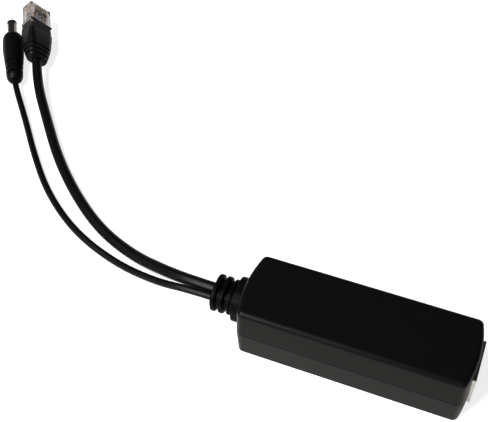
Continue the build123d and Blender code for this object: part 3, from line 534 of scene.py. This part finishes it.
# %% [markdown]
# ## Conductors inside the case
# The same eight colours run on inside the case. A pale conductor is white with a stripe of its
# partner's colour, which an extruder lays on one side, so the stripe sits where the surface faces
# one way.

# %% Wires inside
stripe_side = (0.35, 0.6, 0.72)


def striped(base, stripe):
    """White insulation with one coloured stripe along it."""
    def colours(tree):
        side = along(tree, facing(tree), stripe_side)
        return blend(tree, mask(tree, side, 0.72, 0.78), base, stripe)
    return colours


white = (0.72, 0.7, 0.66)
inner_wires = (
    ("white orange wire", striped(white, orange)), ("orange wire", orange),
    ("white green wire", striped(white, green)), ("blue wire", blue),
    ("white blue wire", striped(white, blue)), ("green wire", green),
    ("white brown wire", striped(white, brown)), ("brown wire", brown),
)
for k, (wire_name, colour) in enumerate(inner_wires):
    dress(plastic(wire_name, colour, 0.35, scale=1500, depth=0.04), f"data_wire_{k + 1}")
dress(plastic("red wire", (0.5, 0.02, 0.02), 0.35, scale=1500, depth=0.04), "dc_wire_1")
dress(plastic("black wire", (0.008, 0.008, 0.008), 0.35, scale=1500, depth=0.04), "dc_wire_2")

# %% [markdown]
# ## Circuit board
# Solder mask covers the copper, and where a track runs underneath, the green is lighter and stands
# a little proud. The gaps of a brick pattern make a believable net of square-cornered tracks. The
# board is cut from a panel, so its narrow edges show bare laminate.

# %% Board
board, board_shader, tree = new_finish("board laminate", specular=0.4)
place = object_place(tree)
bricks = tree.nodes.new("ShaderNodeTexBrick")
tree.links.new(place, bricks.inputs["Vector"])
for name, value in (
    ("Scale", 130.0), ("Mortar Size", 0.035), ("Mortar Smooth", 0.15), ("Brick Width", 0.9),
    ("Row Height", 0.32),
):
    bricks.inputs[name].default_value = value
tracks = mask(tree, bricks.outputs["Fac"], 0.3, 0.7)
laminate = noise(tree, place, 900, 2)
mask_green = blend(tree, tracks, (0.008, 0.07, 0.028), (0.016, 0.13, 0.05))
is_face = mask(tree, reckon(tree, "ABSOLUTE", along(tree, facing(tree), (0, 0, 1))), 0.6, 0.8)
edge_colour = blend(tree, laminate, (0.42, 0.36, 0.18), (0.28, 0.24, 0.12))
tree.links.new(blend(tree, is_face, edge_colour, mask_green), board_shader.inputs["Base Color"])
tree.links.new(mask(tree, is_face, 0.0, 1.0, 0.75, 0.28), board_shader.inputs["Roughness"])
tree.links.new(relief(tree, tracks, 0.25), board_shader.inputs["Normal"])
dress(board, "circuit_board")

# %% [markdown]
# ## Packages with leads
# A moulded package is black epoxy with tinned leads that come out of its sides. Body and leads are
# one piece, so a mask tells them apart: what lies within the outline of the flat top is epoxy, and
# what reaches out is metal. The outline is read from the piece itself.

# %% Epoxy and leads
tin = (0.7, 0.69, 0.66)
top_band = 0.0002
body_margin = 0.0003


def outline_of_top(piece_name):
    """Centre and half size of the flat top of a piece, in metres."""
    places = [v.co for v in bpy.data.objects[piece_name].data.vertices]
    top = max(place.z for place in places)
    upper = [place for place in places if place.z > top - top_band]
    low = Vector((min(p.x for p in upper), min(p.y for p in upper), 0))
    high = Vector((max(p.x for p in upper), max(p.y for p in upper), 0))
    return (low + high) / 2, (high - low) / 2


def leaded(piece_name, body=(0.016, 0.016, 0.016)):
    """Epoxy within the top's outline and tinned metal outside it."""
    centre, half = outline_of_top(piece_name)
    finish, shader, tree = new_finish(f"package {piece_name}")
    apart = tree.nodes.new("ShaderNodeSeparateXYZ")
    tree.links.new(object_place(tree), apart.inputs[0])
    past = []
    for i in (0, 1):
        from_centre = reckon(tree, "ABSOLUTE", reckon(tree, "SUBTRACT", apart.outputs[i], centre[i]))
        past.append(reckon(tree, "SUBTRACT", from_centre, half[i] + body_margin))
    is_lead = reckon(tree, "GREATER_THAN", reckon(tree, "MAXIMUM", *past), 0.0)
    grain = moulded(tree, scale=4200.0, depth=0.3, roughness=0.6, variation=0.15)
    smoother = reckon(tree, "MULTIPLY", is_lead, 0.32)
    tree.links.new(blend(tree, is_lead, body, tin), shader.inputs["Base Color"])
    tree.links.new(is_lead, shader.inputs["Metallic"])
    tree.links.new(reckon(tree, "SUBTRACT", grain["Roughness"], smoother), shader.inputs["Roughness"])
    tree.links.new(grain["Normal"], shader.inputs["Normal"])
    dress(finish, piece_name)


black_packages = ("lan_module", "bridge_rectifier_1", "bridge_rectifier_2", "controller_chip", "rectifier_diode")
for piece_name in black_packages:
    leaded(piece_name)
leaded("optocoupler", body=(0.55, 0.53, 0.48))

# %% [markdown]
# ## Wound parts
# Ferrite is ground grey ceramic with a coarse, dry look. The transformer's winding is wrapped in
# yellow polyester tape, layer over layer, and the choke is wound with enamelled copper wire. Both
# show as bands round an upright axis: broad, faint ones for the tape and close, deep ones for the
# wire. On the wire the colour is painted darker in the grooves between turns, as painted shade, and
# lighter on their crests, as a painted highlight.

# %% Ferrite, tape and copper
band_at_scale_one = 0.314
tape_width = 0.0019
wire_width = 0.00042


def bands(tree, width):
    """Bands up and down the piece, each as wide as given in metres."""
    wave = tree.nodes.new("ShaderNodeTexWave")
    wave.bands_direction = "Z"
    wave.inputs["Scale"].default_value = band_at_scale_one / width
    wave.inputs["Distortion"].default_value = 0.4
    tree.links.new(object_place(tree), wave.inputs["Vector"])
    return wave.outputs["Fac"]


def ground_ceramic(tree):
    """Dark and pale grains of grey."""
    return blend(tree, noise(tree, object_place(tree), 2600, 3), (0.02, 0.02, 0.022), (0.06, 0.06, 0.062))


ferrite = plastic("ferrite", ground_ceramic, 0.62, scale=3600, depth=0.5)
dress(ferrite, "transformer_core_lower", "transformer_core_upper", "choke_core")

tape = plastic(
    "winding tape", lambda tree: blend(tree, bands(tree, tape_width), (0.5, 0.32, 0.05), (0.68, 0.46, 0.09)),
    0.28, scale=700, depth=0.4,
)
dress(tape, "transformer_winding")

copper, copper_shader, tree = new_finish("enamelled copper", metallic=1.0)
turns = bands(tree, wire_width)
# Painted shade and painted highlight: the copper colour is darker in the grooves between turns and lighter on
# their crests.
tree.links.new(blend(tree, turns, (0.3, 0.1, 0.03), (0.8, 0.38, 0.17)), copper_shader.inputs["Base Color"])
tree.links.new(mask(tree, turns, 0.0, 1.0, 0.5, 0.22), copper_shader.inputs["Roughness"])
tree.links.new(relief(tree, turns, 0.9), copper_shader.inputs["Normal"])
dress(copper, "choke_winding")

# %% [markdown]
# ## Capacitors and the surge suppressor
# A storage capacitor is an aluminium can in a shrunk dark sleeve. The sleeve leaves the top bare
# and has a pale stripe on the side of the negative lead. The suppressor is a ceramic disc dipped in
# blue epoxy, and the coating ends above its two tinned leads.

# %% Sleeves and coating
sleeve, sleeve_shader, tree = new_finish("can sleeve")
normal = facing(tree)
is_top = mask(tree, along(tree, normal, (0, 0, 1)), 0.9, 0.97)
is_stripe = mask(tree, along(tree, normal, (0, -1, 0)), 0.86, 0.88)
dark_or_stripe = blend(tree, is_stripe, (0.012, 0.016, 0.045), (0.5, 0.52, 0.55))
tree.links.new(blend(tree, is_top, dark_or_stripe, (0.75, 0.75, 0.74)), sleeve_shader.inputs["Base Color"])
tree.links.new(is_top, sleeve_shader.inputs["Metallic"])
wear_surface(tree, sleeve_shader, moulded(tree, scale=500.0, depth=0.25, roughness=0.3, variation=0.12))
dress(sleeve, "inlet_capacitor", "outlet_capacitor_1", "outlet_capacitor_2")

coating_end = 0.0066
coating, coating_shader, tree = new_finish("suppressor coating")
apart = tree.nodes.new("ShaderNodeSeparateXYZ")
tree.links.new(object_place(tree), apart.inputs[0])
is_leg = reckon(tree, "LESS_THAN", apart.outputs["Z"], coating_end)
tree.links.new(blend(tree, is_leg, (0.02, 0.08, 0.3), tin), coating_shader.inputs["Base Color"])
tree.links.new(is_leg, coating_shader.inputs["Metallic"])
wear_surface(tree, coating_shader, moulded(tree, scale=350.0, depth=0.5, roughness=0.25, variation=0.12))
dress(coating, "suppressor_disc")

# %% [markdown]
# ## Floor and room
# The photograph shows the splitter on pure white. A pale floor alone would need so much light that
# the black plastic would turn grey, so the lamps stay at a plain level and the floor adds white of
# its own wherever it is looked at: most of it for the camera, a little in a reflection or through
# the clear plug. Its shading still carries the object's shadow. Far out, where the lamps hardly
# reach, it adds the rest of the white. The table is a warm white, which is where the near side of
# the case gets its tint.

# %% Rays that look at something
def rays(tree):
    """Three masks: rays from the camera, rays out of glass, and all that look, by a reflection too."""
    kind = tree.nodes.new("ShaderNodeLightPath").outputs
    direct = reckon(tree, "MAXIMUM", kind["Is Camera Ray"], kind["Is Transmission Ray"])
    looking = reckon(tree, "MAXIMUM", direct, kind["Is Glossy Ray"])
    return kind["Is Camera Ray"], kind["Is Transmission Ray"], looking


# %% The floor
floor_size = 6
floor_drop = 0.00002
white_when_seen = 0.15
white_near, white_far = 0.65, 0.85
bpy.ops.mesh.primitive_plane_add(size=floor_size, location=(0, 0, -floor_drop))
floor = bpy.context.object
floor.name = "floor"
floor_finish, floor_shader, tree = new_finish("white floor", specular=0.0)
floor_shader.inputs["Roughness"].default_value = 0.9
from_camera, through_glass, looking = rays(tree)
for socket_name, warm, neutral in (
    ("Base Color", (0.8, 0.775, 0.74), (0.8, 0.8, 0.8)),
    ("Emission Color", (1.0, 0.96, 0.92), (1.0, 1.0, 1.0)),
):
    tree.links.new(blend(tree, from_camera, warm, neutral), floor_shader.inputs[socket_name])
distance = tree.nodes.new("ShaderNodeVectorMath")
distance.operation = "LENGTH"
tree.links.new(object_place(tree), distance.inputs[0])
outward = mask(tree, distance.outputs["Value"], 0.3, 1.0, white_near, white_far)
for_camera = reckon(tree, "MULTIPLY", from_camera, outward)
added_white = reckon(tree, "MULTIPLY_ADD", looking, white_when_seen, for_camera)
tree.links.new(added_white, floor_shader.inputs["Emission Strength"])
dress(floor_finish, "floor")

# %% [markdown]
# The room is bright behind the camera and dark on the far side. Seen from the camera the lid
# mirrors the far side, which is why it is nearly black in the photograph, while the rounded near
# edge catches the lamp. The camera itself sees plain white, and so does what shines through the
# clear plug.

# %% The room
room = bpy.data.worlds.new("room")
room.use_nodes = True
bpy.context.scene.world = room
tree = room.node_tree
background = tree.nodes["Background"]
background.inputs["Color"].default_value = (1, 1, 1, 1)
window_side = (-0.2, -0.8, 0.57)
dim_side, bright_side = 0.03, 0.3
direction = tree.nodes.new("ShaderNodeTexCoord").outputs["Generated"]
window_light = mask(tree, along(tree, direction, window_side), 0.7, 0.98, dim_side, bright_side)
near_horizon = mask(tree, along(tree, direction, (0, 0, 1)), 0.0, 0.03, 1.0, 0.0)
from_camera, through_glass, looking = rays(tree)
lit = reckon(tree, "MAXIMUM", window_light, reckon(tree, "MULTIPLY", near_horizon, looking))
room_light = reckon(tree, "MAXIMUM", lit, reckon(tree, "MAXIMUM", from_camera, through_glass))
tree.links.new(room_light, background.inputs["Strength"])
print("room:", room.name)


# %% Lamps
lamp_target = Vector((-0.05, 0.03, 0))


def soft_lamp(name, place, size, power):
    """A square area lamp aimed at the case's end of the cords."""
    lamp_data = bpy.data.lights.new(name, "AREA")
    lamp_data.size = size
    lamp_data.energy = power
    lamp = bpy.data.objects.new(name, lamp_data)
    bpy.context.scene.collection.objects.link(lamp)
    line_of_light = lamp_target - Vector(place)
    turn = line_of_light.to_track_quat("-Z", "Y").to_matrix().to_4x4()
    lamp.matrix_world = Matrix.Translation(place) @ turn


soft_lamp("key lamp", (-0.4, -0.64, 0.56), 0.26, 7.0)
soft_lamp("overhead lamp", (-0.5, -0.25, 0.95), 0.3, 6.5)
